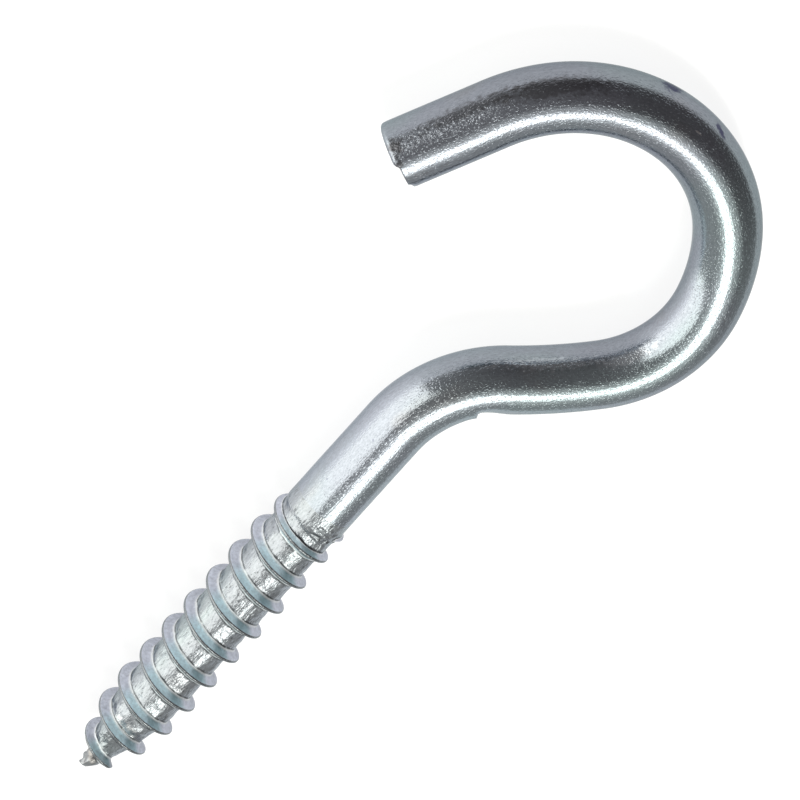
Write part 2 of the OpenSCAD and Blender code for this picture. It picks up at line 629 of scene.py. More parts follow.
    def roll(self, bm: Mesh) -> None:
        """Rolls the thread and cuts it above the run-out and at the tip.

        Args:
            bm: An empty mesh to roll it in.
        """
        offset_of = bm.verts.layers.float.new("offset")
        low_x = -self.length + (self.first_ridge - self.turns_below) * self.pitch
        first_angle = math.radians(self.start) + self.hand.value * math.tau * low_x / self.pitch
        offsets = [-d for d in reversed(self.half_columns[1:])] + list(self.half_columns)
        reach = self.core_d / 2.0
        verts = []
        for offset in offsets:
            place = (low_x + offset, reach * math.cos(first_angle), reach * math.sin(first_angle))
            vert = bm.verts.new(place)
            vert[offset_of] = offset
            verts.append(vert)
        edges = [bm.edges.new(pair) for pair in zip(verts, verts[1:])]
        bmesh.ops.spin(
            bm, geom=verts + edges, cent=(0.0, 0.0, 0.0), axis=(1.0, 0.0, 0.0),
            dvec=(self.pitch / self.steps, 0.0, 0.0), angle=self.hand.value * math.tau,
            steps=self.steps, use_merge=False, use_duplicate=False,
        )
        one_turn = bm.verts[:] + bm.edges[:] + bm.faces[:]
        for turn in range(1, self.turns):
            copied = ring_parts(bmesh.ops.duplicate(bm, geom=one_turn)["geom"])[0]
            bmesh.ops.translate(bm, vec=(turn * self.pitch, 0.0, 0.0), verts=copied)
        bmesh.ops.remove_doubles(bm, verts=bm.verts[:], dist=self.weld)
        self.shape(bm)
        self.step_shoulder(bm)
        tip_x = -self.length + self.tip_round
        self.cut(bm, self.join_at, clear=True)
        self.cut(bm, tip_x, outward=-1.0, clear=True)
        low = tip_x + self.tip_near
        self.close_tip(bm, [edge for edge in bm.edges if edge.is_boundary and edge.verts[0].co.x < low])
        laid = bm.verts.layers.float_vector[LAID_OUT]
        for vert in bm.verts:
            vert[laid] = vert.co
        bmesh.ops.translate(bm, vec=SHOULDER, verts=bm.verts[:])
        bm.verts.layers.float.remove(bm.verts.layers.float["offset"])

    def cut(self, bm: Mesh, x: float, outward: float = 1.0, clear: bool = False) -> None:
        """Cuts the screw across.

        Args:
            bm: The mesh.
            x: Where it is cut, from the shoulder.
            outward: The way along the screw that counts as outward, as one or minus one.
            clear: Whether the outer side is taken off.
        """
        bmesh.ops.bisect_plane(
            bm, geom=bm.verts[:] + bm.edges[:] + bm.faces[:], dist=self.cut_close, plane_co=(x, 0.0, 0.0),
            plane_no=(outward, 0.0, 0.0), clear_outer=clear, clear_inner=False,
        )

    def shape(self, bm: Mesh) -> None:
        """Raises the ridge, tapers the point, fades the run-out and dents the core.

        Args:
            bm: The mesh with the plain spun grid.
        """
        offset_of = bm.verts.layers.float["offset"]
        rise = bm.verts.layers.float[RISE]
        torn = bm.verts.layers.float[TORN]
        first_crest = -self.length + self.first_ridge * self.pitch
        for vert in bm.verts:
            offset = vert[offset_of]
            helix_x = vert.co.x - offset
            crest_x = helix_x - self.sink_at(helix_x, 0.0)
            x = helix_x - self.sink_at(helix_x, offset) + offset
            angle = math.radians(self.start) + self.hand.value * math.tau * helix_x / self.pitch
            height = max(0.0, self.crest_at(crest_x) - self.core_at(crest_x))
            height *= ease(1.0 + (helix_x - first_crest) / (self.ridge_lead * self.pitch))
            share = self.section(offset)
            place = Vector((x, math.cos(angle) * self.dent_r, math.sin(angle) * self.dent_r))
            radius = self.core_at(x) + height * share
            hit = (1.0 - share) ** 2 * ease((self.shoulder_at - x) / self.shoulder_break + 0.5)
            hit *= 1.0 + self.crinkle * ease(1.0 + x / self.crinkle_reach)
            radius += noise.noise(place / self.dent_size) * self.dent * hit
            radius += noise.noise(place / self.nick_size) * self.nick * hit
            radius += noise.noise(place * self.crest_lump + UP * self.crest_apart) * self.crest_ragged * share
            near_tip = Vector((x, math.cos(angle) * radius, math.sin(angle) * radius))
            pointed = self.point_share(x)
            ragged = self.tip_ragged * ease((pointed - self.ragged_from) / (1.0 - self.ragged_from))
            radius += noise.noise(near_tip * self.tip_lump) * ragged
            vert[rise] = share if height > self.least_height else 0.0
            vert[torn] = self.tip_torn * ease((pointed - self.torn_from) / (1.0 - self.torn_from))
            vert.co = Vector((x, self.lean_at(x) + radius * math.cos(angle), radius * math.sin(angle)))

    def step_shoulder(self, bm: Mesh) -> None:
        """Cuts even rings round the shoulder and swells the core there to the wire's size.

        Args:
            bm: The mesh with the shaped thread.
        """
        for x in self.shoulder_rings:
            self.cut(bm, x)
        rise = bm.verts.layers.float[RISE]
        for vert in bm.verts:
            x = vert.co.x
            if x < self.shoulder_rings[0] - self.shoulder_break:
                continue
            radius = math.hypot(vert.co.y, vert.co.z)
            base = self.base_at(vert.co)
            soft = self.blend * ease(x / self.shoulder_break) * ease(2.0 - 2.0 * x / self.join_at)
            wanted = (base + radius + math.hypot(base - radius, soft)) / 2.0
            near = ease(2.0 - abs(x - self.shoulder_at) / self.crease_reach)
            turned = math.atan2(vert.co.z, vert.co.y) - math.radians(self.crease_angle)
            creased = self.crease * noise.noise(vert.co / self.crease_size) * near
            wanted += creased * ease(1.0 - abs(turned) / self.crease_spread)
            vert[rise] = vert[rise] * ease((radius - base) / self.rise_fade)
            vert.co.y *= wanted / radius
            vert.co.z *= wanted / radius

    def close_tip(self, bm: Mesh, edges: Edges) -> None:
        """Rounds the blunt tip and closes it.

        Args:
            bm: The mesh.
            edges: The open ring at the tip.
        """
        ring = list(edges)
        verts = list({vert for edge in ring for vert in edge.verts})
        centre = sum((vert.co for vert in verts), Vector()) / len(verts)
        size, depth = 1.0, 0.0
        for share, back in self.tip_rings:
            middle = centre - Vector((depth, 0.0, 0.0))
            verts, ring = grow_ring(
                bm, ring, middle, share / size, Vector((depth - back * self.tip_round, 0.0, 0.0))
            )
            size, depth = share, back * self.tip_round
        bmesh.ops.pointmerge(bm, verts=verts, merge_co=centre - Vector((self.tip_round, 0.0, 0.0)))


@dataclass(frozen=True)
class StainOrPaintedLight:
    """A dark or pale spot laid over the plating's colour, by its place on the laid-out wire: a real stain, scratch or
    rust, or painted shade, a painted reflection or a painted highlight.
    """

    along: float
    around: float
    length: float
    width: float
    depth: float
    colour: Colour = (0.075, 0.075, 0.135, 1.0)
    radius: float = 2.9


class NodeBench:
    """Puts nodes into one tree and links them."""

    def __init__(self, tree: bpy.types.NodeTree) -> None:
        """Keeps the tree that is worked on."""
        self.tree = tree

    def add(
        self, kind: str, inputs: dict[Union[str, int], Value] | None = None, **settings: object
    ) -> bpy.types.Node:
        """Adds one node.

        Args:
            kind: The node's Blender type.
            inputs: Values or sockets for its inputs, by name or number.
            settings: Properties of the node.

        Returns:
            The new node.
        """
        node = self.tree.nodes.new(kind)
        for name, setting in settings.items():
            setattr(node, name, setting)
        for name, value in (inputs or {}).items():
            if isinstance(value, Socket):
                self.tree.links.new(value, node.inputs[name])
            else:
                node.inputs[name].default_value = value
        return node

    def math(self, operation: str, a: Value, b: Value = 0.0) -> Socket:
        """Adds a Math node and gives its result."""
        return self.add("ShaderNodeMath", {0: a, 1: b}, operation=operation).outputs[0]

    def plus(self, base: Value, extra: Value, by: Value) -> Socket:
        """Adds a share of one value to another."""
        return self.math("ADD", base, self.math("MULTIPLY", extra, by))

    def vector(self, operation: str, a: Value, b: Value = (0.0, 0.0, 0.0), output: str = "Vector") -> Socket:
        """Adds a Vector Math node and gives its result."""
        return self.add("ShaderNodeVectorMath", {0: a, 1: b}, operation=operation).outputs[output]

    def draw_out(self, place: Value, share: float) -> Socket:
        """Shortens a laid-out place along the wire, so that a texture is drawn out there."""
        return self.vector("MULTIPLY", place, (share, 1.0, 1.0))

    def attribute(self, name: str, output: str = "Fac") -> Socket:
        """Reads an attribute of the mesh."""
        return self.add("ShaderNodeAttribute", attribute_name=name).outputs[output]

    def along(self, place: Value) -> Socket:
        """Reads the distance along the wire from a laid-out place."""
        return self.add("ShaderNodeSeparateXYZ", {0: place}).outputs["X"]

    def send(self, node: bpy.types.Node, **results: Socket) -> None:
        """Links results to the inputs of a node by their names."""
        for name, result in results.items():
            self.tree.links.new(result, node.inputs[name])

    def noise(self, vector: Value, scale: Value, detail: float, rough: float = 0.5) -> Socket:
        """Adds a noise texture and gives its value."""
        return self.add(
            "ShaderNodeTexNoise", {"Vector": vector, "Scale": scale, "Detail": detail, "Roughness": rough}
        ).outputs[0]

    def span(
        self, value: Value, low: float, high: float, to_low: float = 0.0, to_high: float = 1.0, smooth: bool = True
    ) -> Socket:
        """Maps a range of values to another, held at its ends.

        Args:
            value: What is mapped.
            low: The value that gives to_low.
            high: The value that gives to_high.
            to_low: The first result.
            to_high: The last result.
            smooth: Whether the change is eased.

        Returns:
            The mapped value.
        """
        kind = "SMOOTHSTEP" if smooth else "LINEAR"
        return self.add(
            "ShaderNodeMapRange", {0: value, 1: low, 2: high, 3: to_low, 4: to_high}, interpolation_type=kind
        ).outputs[0]

    def mix(self, share: Value, a: Value, b: Value, blend: str = "MIX") -> Socket:
        """Mixes two colours.

        Args:
            share: How much of the second colour.
            a: The first colour.
            b: The second colour.
            blend: The way they are mixed.

        Returns:
            The mixed colour.
        """
        node = self.add("ShaderNodeMix", {0: share, 6: a, 7: b}, data_type="RGBA", blend_type=blend)
        return node.outputs[2]


def bare_bench(owner: Union[bpy.types.Material, bpy.types.World]) -> NodeBench:
    """Clears the nodes of a material or of the world.

    Args:
        owner: The material or world.

    Returns:
        A bench on its empty tree.
    """
    owner.use_nodes = True
    owner.node_tree.nodes.clear()
    return NodeBench(owner.node_tree)


def new_group(
    name: str, inputs: dict[str, str], outputs: dict[str, str]
) -> tuple[NodeBench, bpy.types.Node, bpy.types.Node]:
    """Starts a shader node group.

    Args:
        name: The group's name.
        inputs: Socket types by input name.
        outputs: Socket types by output name.

    Returns:
        A bench on the group, and its input and output nodes.
    """
    tree = bpy.data.node_groups.new(name, "ShaderNodeTree")
    for socket, kind in inputs.items():
        tree.interface.new_socket(name=socket, in_out="INPUT", socket_type=kind)
    for socket, kind in outputs.items():
        tree.interface.new_socket(name=socket, in_out="OUTPUT", socket_type=kind)
    bench = NodeBench(tree)
    return bench, bench.add("NodeGroupInput"), bench.add("NodeGroupOutput")


@dataclass
class PlatingEffects:
    """The node groups that the plated surfaces share."""

    line_draw: float = 0.07
    line_height: float = 0.6
    broad_draw: float = 0.025
    broad_size: float = 0.3
    broad_height: float = 0.9
    grain_draw: float = 0.42
    grain_height: float = 0.9
    peel_draw: float = 0.75
    peel_height: float = 0.5
    fleck_draw: float = 0.6
    fleck_size: float = 1.15
    fleck_span: Pair = (0.54, 0.72)
    mint_draw: float = 0.4
    mint_span: Pair = (0.42, 0.66)
    straw_draw: float = 0.5
    straw_size: float = 1.7
    straw_span: Pair = (0.58, 0.75)
    straw_share: float = 0.6
    spot_draw: float = 0.8
    spot_size: float = 2.6
    spot_noise: Pair = (0.2, 0.8)
    spot_ragged: Pair = (-0.5, 0.5)
    spot_edge: Pair = (0.4, 1.05)

    def __post_init__(self) -> None:
        """Builds each group once."""
        self.drawn = self.make_drawn()
        self.grain = self.make_grain()
        self.tint = self.make_tint()
        self.spot_or_light = self.make_spot_mask()

    def make_drawn(self) -> bpy.types.NodeTree:
        """Builds the fine lengthwise lines that the drawing die leaves.

        Returns:
            The node group.
        """
        bench, start, end = new_group(
            "drawn_lines", {"Place": VECTOR, "Fineness": FLOAT}, {"Height": FLOAT, "Shade": FLOAT}
        )
        place, fineness = start.outputs["Place"], start.outputs["Fineness"]
        fine = bench.noise(bench.draw_out(place, self.line_draw), fineness, detail=3.0, rough=0.6)
        broad_size = bench.math("MULTIPLY", fineness, self.broad_size)
        broad = bench.noise(bench.draw_out(place, self.broad_draw), broad_size, detail=2.0)
        height = bench.plus(bench.math("MULTIPLY", fine, self.line_height), broad, by=self.broad_height)
        bench.send(end, Height=height, Shade=bench.span(broad, *NOISE_RANGE))
        return bench.tree

    def make_grain(self) -> bpy.types.NodeTree:
        """Builds the fine crystal grain of the plating and its coarser peel.

        Returns:
            The node group.
        """
        bench, start, end = new_group(
            "plating_grain", {"Place": VECTOR, "Grain": FLOAT, "Peel": FLOAT},
            {"Height": FLOAT, "Shade": FLOAT, "Specks": FLOAT},
        )
        place, size = start.outputs["Place"], start.outputs["Grain"]
        grain = bench.noise(bench.draw_out(place, self.grain_draw), size, detail=2.0, rough=0.55)
        peel = bench.noise(bench.draw_out(place, self.peel_draw), start.outputs["Peel"], detail=1.0, rough=0.4)
        fleck_size = bench.math("MULTIPLY", size, self.fleck_size)
        fleck = bench.noise(bench.draw_out(place, self.fleck_draw), fleck_size, detail=1.0)
        height = bench.plus(bench.math("MULTIPLY", grain, self.grain_height), peel, by=self.peel_height)
        bench.send(end, Height=height, Specks=bench.span(fleck, *self.fleck_span), Shade=grain)
        return bench.tree

    def make_tint(self) -> bpy.types.NodeTree:
        """Builds the soft change of colour in the clear passivate.

        Returns:
            The node group.
        """
        bench, start, end = new_group(
            "passivate_tint",
            {"Place": VECTOR, "Patch": FLOAT, "Lavender": COLOUR, "Mint": COLOUR, "Straw": COLOUR},
            {"Color": COLOUR},
        )
        place, size = start.outputs["Place"], start.outputs["Patch"]
        patch = bench.noise(bench.draw_out(place, self.mint_draw), size, detail=2.0)
        straw_size = bench.math("MULTIPLY", size, self.straw_size)
        other = bench.noise(bench.draw_out(place, self.straw_draw), straw_size, detail=2.0)
        colour = bench.mix(bench.span(patch, *self.mint_span), start.outputs["Lavender"], start.outputs["Mint"])
        straw = bench.span(other, *self.straw_span, 0.0, self.straw_share)
        colour = bench.mix(straw, colour, start.outputs["Straw"])
        bench.send(end, Color=colour)
        return bench.tree

    def make_spot_mask(self) -> bpy.types.NodeTree:
        """Builds the mask of one ragged spot.

        Returns:
            The node group.
        """
        bench, start, end = new_group(
            "ragged_spot", {"Place": VECTOR, "Centre": VECTOR, "Reach": VECTOR}, {"Mask": FLOAT}
        )
        place = start.outputs["Place"]
        away = bench.vector("SUBTRACT", place, start.outputs["Centre"])
        far = bench.vector("LENGTH", bench.vector("DIVIDE", away, start.outputs["Reach"]), output="Value")
        ragged = bench.noise(bench.draw_out(place, self.spot_draw), self.spot_size, detail=2.0)
        ragged = bench.span(ragged, *self.spot_noise, *self.spot_ragged, smooth=False)
        edge = bench.math("ADD", far, ragged)
        bench.send(end, Mask=bench.span(edge, *self.spot_edge, 1.0, 0.0))
        return bench.tree


@dataclass(frozen=True)
class BrightZinc:
    """Bright zinc plating under a clear bluish passivate."""

    name: str
    lavender: Colour = (0.322, 0.343, 0.39, 1.0)
    mint: Colour = (0.312, 0.36, 0.384, 1.0)
    straw: Colour = (0.338, 0.343, 0.362, 1.0)
    edge_tint: Colour = (0.64, 0.68, 0.70, 1.0)
    # Painted shade: the thread's crests are darkened to dim their highlight.
    crest_shade_colour: Colour = (0.21, 0.222, 0.235, 1.0)
    torn_colour: Colour = (0.37, 0.375, 0.39, 1.0)
    roughness: float = 0.1
    rough_change: float = 0.05
    patch_size: float = 0.16
    fineness: float = 6.5
    drawn_depth: float = 0.6
    drawn_faint: float = 0.2
    lines_full: float = 10.0
    lines_faint: float = 26.0
    grain_size: float = 7.5
    peel_size: float = 3.2
    grain_depth: float = 0.27
    bump_depth: float = 0.035
    speckle: float = 0.11
    pits: float = 0.0
    pit_span: Pair = (0.38, 0.3)
    peel_from: float = 62.0
    peel_full: float = 80.0
    peel_extra: float = 0.9
    peel_angle: float = 138.0
    peel_within: float = 2.86
    peel_beyond: float = 2.64
    speck_depth: float = 0.25
    crest_shade: float = 0.0
    crest_shade_span: Pair = (0.9, 0.98)
    torn_rough: float = 0.3
    flank_lavender: Colour = (0.58, 0.605, 0.695, 1.0)
    # Painted reflection: the flanks turn teal by their angle round the screw.
    flank_teal_reflection: Colour = (0.575, 0.725, 0.79, 1.0)
    # Painted shade: the flanks darken in a zone by their angle round the screw.
    flank_painted_shade: Colour = (0.16, 0.32, 0.34, 1.0)
    flank_rough: float = 0.24
    flank_matt: float = 0.5
    flank_from: Pair = (0.003, 0.06)
    flank_to: Pair = (0.88, 0.95)
    flank_on_crest: float = 0.15
    mottle_size: float = 3.0
    mottle: Pair = (0.78, 1.16)
    tip_span: Pair = (-30.0, -28.5)
    tip_darkening: float = 0.7
    teal_reflection_around: tuple[float, float, float] = (58.0, 14.0, 48.0)
    painted_shade_around: tuple[float, float, float] = (101.0, 6.0, 25.0)
    painted_shade_share: float = 0.65
    painted_shade_polish: float = 0.5
    # Painted highlight: a pale line along the fillet at each flank's foot.
    fillet_highlight_colour: Colour = (0.88, 0.9, 0.91, 1.0)
    fillet_highlight_span: Pair = (0.05, 0.2)
    fillet_highlight_share: float = 0.75
    # Painted shade along the roots of the thread; the same dark colour gives the pits.
    root_shade_and_pit_colour: Colour = (0.10, 0.11, 0.12, 1.0)
    root_from: Pair = (0.001, 0.005)
    root_to: Pair = (0.035, 0.055)
    root_draw: float = 0.5
    root_size: float = 1.6
    root_patch: Pair = (0.36, 0.54)
    root_share: Pair = (0.3, 0.9)
    stains_and_painted_light: tuple[StainOrPaintedLight, ...] = ()

    def make(self, effects: PlatingEffects) -> bpy.types.Material:
        """Builds the material.

        Args:
            effects: The shared node groups.

        Returns:
            The finished material.
        """
        material = bpy.data.materials.new(self.name)
        bench = bare_bench(material)
        place = bench.attribute(LAID_OUT, "Vector")
        drawn = bench.add("ShaderNodeGroup", {"Place": place, "Fineness": self.fineness}, node_tree=effects.drawn)
        sizes = {"Place": place, "Grain": self.grain_size, "Peel": self.peel_size}
        grain = bench.add("ShaderNodeGroup", sizes, node_tree=effects.grain)
        tints = {"Lavender": self.lavender, "Mint": self.mint, "Straw": self.straw}
        tint = bench.add(
            "ShaderNodeGroup", {"Place": place, "Patch": self.patch_size, **tints}, node_tree=effects.tint
        )
        colour = self.speckled(bench, tint.outputs["Color"], grain.outputs["Shade"])
        colour = self.stained_and_painted(bench, effects, place, colour)
        colour = self.torn_and_painted_light(bench, place, colour)
        height = self.height(bench, place, drawn.outputs["Height"], grain.outputs["Height"])
        height = bench.plus(height, grain.outputs["Specks"], by=self.speck_depth)
        bump = bench.add("ShaderNodeBump", {"Strength": 1.0, "Distance": self.bump_depth * MM, "Height": height})
        rough = bench.plus(self.roughness, drawn.outputs["Shade"], by=self.rough_change)
        rough = bench.plus(rough, bench.attribute(TORN), by=self.torn_rough)
        rough = bench.plus(rough, self.flank(bench), by=self.flank_rough)
        # Where the flank's shade is painted, the flank is less matt.
        shade_zone_polish = self.around(bench, place, self.painted_shade_around, 1.0, self.painted_shade_polish)
        matt = bench.math("MULTIPLY", self.flank(bench), bench.math("MULTIPLY", shade_zone_polish, self.flank_matt))
        shader = bench.add(
            "ShaderNodeBsdfPrincipled",
            {"Base Color": colour, "Metallic": bench.math("SUBTRACT", 1.0, matt), "Roughness": rough,
             "Normal": bump.outputs["Normal"], "Specular Tint": self.edge_tint},
        )
        bench.add("ShaderNodeOutputMaterial", {"Surface": shader.outputs[0]})
        return material

    def speckled(self, bench: NodeBench, colour: Socket, grain: Socket) -> Socket:
        """Lets the grain lighten and darken the plating, with dark pits where it was rolled.

        Args:
            bench: The material's bench.
            colour: The colour so far.
            grain: The grain's shade.

        Returns:
            The speckled colour.
        """
        level = bench.span(grain, *NOISE_RANGE, 1.0 - self.speckle, 1.0 + self.speckle, smooth=False)
        colour = bench.mix(1.0, colour, level, "MULTIPLY")
        if self.pits <= 0.0:
            return colour
        return bench.mix(bench.span(grain, *self.pit_span, 0.0, self.pits), colour, self.root_shade_and_pit_colour)

    def stained_and_painted(self, bench: NodeBench, effects: PlatingEffects, place: Socket, colour: Socket) -> Socket:
        """Lays the spots over the plating's colour: real stains, and painted shade, reflections and highlights.

        Args:
            bench: The material's bench.
            effects: The shared node groups.
            place: The laid-out place on the wire.
            colour: The colour so far.

        Returns:
            The colour with the spots.
        """
        for spot_or_light in self.stains_and_painted_light:
            turn = math.radians(spot_or_light.around)
            centre = (spot_or_light.along, spot_or_light.radius * math.cos(turn), spot_or_light.radius * math.sin(turn))
            reach = (spot_or_light.length, spot_or_light.width, spot_or_light.width)
            spot = bench.add(
                "ShaderNodeGroup", {"Place": place, "Centre": centre, "Reach": reach}, node_tree=effects.spot_or_light
            )
            share = bench.math("MULTIPLY", spot.outputs["Mask"], spot_or_light.depth)
            colour = bench.mix(share, colour, spot_or_light.colour)
        return colour

    def torn_and_painted_light(self, bench: NodeBench, place: Socket, colour: Socket) -> Socket:
        """Colours the thread's flanks with painted reflection and painted shade, its fillets with a painted
        highlight, its roots and crests with painted shade, and what is torn in its own colour.

        Args:
            bench: The material's bench.
            place: The laid-out place on the wire.
            colour: The colour so far.

        Returns:
            The colour with these marks.
        """
        rise, torn = bench.attribute(RISE), bench.attribute(TORN)
        # Painted reflection: teal on the flanks by their angle round the screw.
        painted_teal_zone = self.around(bench, place, self.teal_reflection_around, 0.0, 1.0)
        # Painted shade: a dark zone on the flanks by their angle round the screw.
        dark = self.around(bench, place, self.painted_shade_around, 0.0, self.painted_shade_share)
        flank = bench.mix(dark, bench.mix(painted_teal_zone, self.flank_lavender, self.flank_teal_reflection), self.flank_painted_shade)
        mottle = bench.noise(place, self.mottle_size, detail=3.0, rough=0.65)
        flank = bench.mix(1.0, flank, bench.span(mottle, *NOISE_RANGE, *self.mottle, smooth=False), "MULTIPLY")
        # The flanks are darker towards the tip.
        darker_to_tip = bench.span(bench.along(place), *self.tip_span, self.tip_darkening, 1.0)
        flank = bench.mix(1.0, flank, darker_to_tip, "MULTIPLY")
        # Painted highlight along the fillets.
        flank = bench.mix(bench.span(rise, *self.fillet_highlight_span, self.fillet_highlight_share, 0.0), flank, self.fillet_highlight_colour)
        colour = bench.mix(self.flank(bench), colour, flank)
        # Painted shade: a broken dark line along the thread's roots.
        patch = bench.noise(bench.draw_out(place, self.root_draw), self.root_size, detail=2.0)
        line = bench.math("MULTIPLY", bench.span(rise, *self.root_from), bench.span(rise, *self.root_to, 1.0, 0.0))
        line = bench.math("MULTIPLY", line, bench.span(patch, *self.root_patch, *self.root_share))
        colour = bench.mix(line, colour, self.root_shade_and_pit_colour)
        # Painted shade on the crests, darkening their highlight.
        colour = bench.mix(bench.span(rise, *self.crest_shade_span, 0.0, self.crest_shade), colour, self.crest_shade_colour)
        return bench.mix(torn, colour, self.torn_colour)

    def around(
        self, bench: NodeBench, place: Socket, zone: tuple[float, float, float], outside: float, inside: float
    ) -> Socket:
        """Masks a zone by its angle round the screw.

        Args:
            bench: The material's bench.
            place: The laid-out place on the wire.
            zone: Middle of the zone, half width where it is full and half width where it ends, in degrees.
            outside: The value outside the zone.
            inside: The value in its middle.

        Returns:
            The mask.
        """
        parts = bench.add("ShaderNodeSeparateXYZ", {0: place}).outputs
        middle, full, gone = (math.radians(angle) for angle in zone)
        turn = bench.math("ARCTAN2", parts["Z"], parts["Y"])
        away = bench.math("ABSOLUTE", bench.math("SUBTRACT", turn, middle))
        return bench.span(away, full, gone, inside, outside)

    def flank(self, bench: NodeBench) -> Socket:
        """Masks the matt flanks of the thread's ridge.

        Args:
            bench: The material's bench.

        Returns:
            The mask.
        """
        rise = bench.attribute(RISE)
        below = bench.span(rise, *self.flank_to, 1.0, self.flank_on_crest)
        return bench.math("MULTIPLY", bench.span(rise, *self.flank_from), below)

    def height(self, bench: NodeBench, place: Socket, drawn: Socket, grain: Socket) -> Socket:
        """Adds up the fine relief, deeper towards the nose where the bending jaws held the wire.

        Args:
            bench: The material's bench.
            place: The laid-out place on the wire.
            drawn: Height of the drawn lines.
            grain: Height of the grain.

        Returns:
            The height for the bump.
        """
        along = bench.along(place)
        turn = math.radians(self.peel_angle)
        facing = bench.vector("DOT_PRODUCT", place, (0.0, math.cos(turn), math.sin(turn)), output="Value")
        upper = bench.span(facing, self.peel_beyond, self.peel_within)
        held = bench.math("MULTIPLY", bench.span(along, self.peel_from, self.peel_full), upper)
        gripped = bench.plus(self.grain_depth, held, by=self.peel_extra)
        depth = bench.span(along, self.lines_full, self.lines_faint, self.drawn_depth, self.drawn_faint)
        return bench.plus(bench.math("MULTIPLY", drawn, depth), grain, by=gripped)


# Painted shade at the nose end, darkening its highlight near the cut face.
PAINTED_END_SHADE = (0.10, 0.095, 0.10, 1.0)
# Painted reflection: dark streaks along the crown's dark band.
PAINTED_DARK_REFLECTION = (0.11, 0.11, 0.12, 1.0)
PAINTED_BROWN_REFLECTION = (0.11, 0.105, 0.11, 1.0)
# Painted light: pale patches that lighten the rim's reflection.
PAINTED_RIM_LIGHT = (0.8, 0.83, 0.88, 1.0)
SCRATCH = (0.9, 0.9, 0.9, 1.0)
RUST = (0.25, 0.21, 0.18, 1.0)
# Painted highlight: a bright patch standing in for a lamp's reflection.
PAINTED_TIP_HIGHLIGHT = (0.8, 0.82, 0.83, 1.0)
# Painted shade in the crease of the shoulder.
PAINTED_SHOULDER_SHADE = (0.13, 0.14, 0.15, 1.0)


@dataclass
class ScrewHook:
    """The whole hook: wire and screw joined in one mesh and plated."""

    wire: HookWire = field(default_factory=HookWire)
    screw: RolledScrew = field(default_factory=RolledScrew)
    weld: float = 0.0008
    plain: BrightZinc = BrightZinc(
        "bright_zinc_wire",
        stains_and_painted_light=(
            StainOrPaintedLight(62.9, 181.0, 1.0, 0.95, 0.95),
            # Painted shade at the nose end, over its highlight.
            StainOrPaintedLight(84.5, 137.0, 0.85, 0.9, 0.72, PAINTED_END_SHADE),
            StainOrPaintedLight(84.75, 106.0, 0.45, 0.55, 0.7, PAINTED_END_SHADE),
            # Painted reflection: dark streaks along the crown.
            StainOrPaintedLight(78.0, 146.0, 5.4, 0.75, 0.66, PAINTED_DARK_REFLECTION),
            StainOrPaintedLight(71.5, 140.0, 5.0, 1.05, 0.6, PAINTED_BROWN_REFLECTION),
            # Painted light on the inner rim of the bends.
            StainOrPaintedLight(25.0, 29.0, 5.5, 0.7, 0.38, PAINTED_RIM_LIGHT),
            StainOrPaintedLight(33.0, 39.0, 4.0, 0.6, 0.3, PAINTED_RIM_LIGHT),
            StainOrPaintedLight(58.62, 160.0, 0.42, 0.42, 0.9),
            StainOrPaintedLight(58.15, 154.0, 0.5, 0.42, 0.95),
            StainOrPaintedLight(60.1, 124.0, 0.42, 0.1, 0.7, SCRATCH),
            StainOrPaintedLight(4.8, 36.4, 0.13, 0.13, 0.45),
            StainOrPaintedLight(10.32, 51.1, 0.14, 0.14, 0.35),
        ),
    )
    rolled: BrightZinc = BrightZinc(
        "bright_zinc_screw", lavender=(0.32, 0.338, 0.366, 1.0), mint=(0.314, 0.353, 0.366, 1.0),
        crest_shade=0.85, drawn_depth=0.25, grain_depth=1.45, grain_size=5.0, peel_size=1.9, fineness=4.0,
        speckle=0.14, pits=0.65, roughness=0.19,
        stains_and_painted_light=(
            StainOrPaintedLight(-30.5, 45.0, 1.3, 1.1, 0.6, RUST, radius=1.1),
            # Painted highlight on the tapered core near the tip.
            StainOrPaintedLight(-25.75, 60.0, 0.8, 1.4, 0.55, PAINTED_TIP_HIGHLIGHT, radius=2.0),
            # Painted shade in the crease where the thread meets the wire.
            StainOrPaintedLight(0.05, 92.0, 0.42, 1.0, 0.6, PAINTED_SHOULDER_SHADE),
        ),
    )

    def build(self) -> bpy.types.Object:
        """Makes the mesh.

        Returns:
            The hook's object, at the origin, in metres.
        """
        mesh = bpy.data.meshes.new("screw_hook_body")
        bm = self.new_bench()
        self.screw.roll(bm)
        for face in bm.faces:
            face.material_index = Surface.SCREW.value
        LOG.info("rolled screw: %d points", len(bm.verts))
        bm.to_mesh(mesh)
        bm.free()
        bm = self.new_bench()
        self.wire.draw(bm)
        LOG.info("hook wire: %d points", len(bm.verts))
        bm.from_mesh(mesh)
        bmesh.ops.bridge_loops(bm, edges=[edge for edge in bm.edges if edge.is_boundary])
        bmesh.ops.remove_doubles(bm, verts=bm.verts[:], dist=self.weld)
        bmesh.ops.recalc_face_normals(bm, faces=bm.faces[:])
        bmesh.ops.scale(bm, vec=(MM, MM, MM), verts=bm.verts[:])
        for face in bm.faces:
            face.smooth = True
        LOG.info("edges that don't join two faces: %d", sum(not edge.is_manifold for edge in bm.edges))
        bm.to_mesh(mesh)
        bm.free()
        return stand("screw_hook_body", mesh)

    def new_bench(self) -> Mesh:
        """Starts an empty mesh with the layers that the finish reads.

        Returns:
            The mesh.
        """
        bm = bmesh.new()
        bm.verts.layers.float_vector.new(LAID_OUT)
        bm.verts.layers.float.new(RISE)
        bm.verts.layers.float.new(TORN)
        return bm

    def dress(self, piece: bpy.types.Object, effects: PlatingEffects) -> None:
        """Plates the hook: the wire's finish first, then the screw's."""
        for finish in (self.plain, self.rolled):
            piece.data.materials.append(finish.make(effects))


class Front(Enum):
    """The outline of a lamp's front."""

    ROUND = "DISK"
    SQUARE = "RECTANGLE"


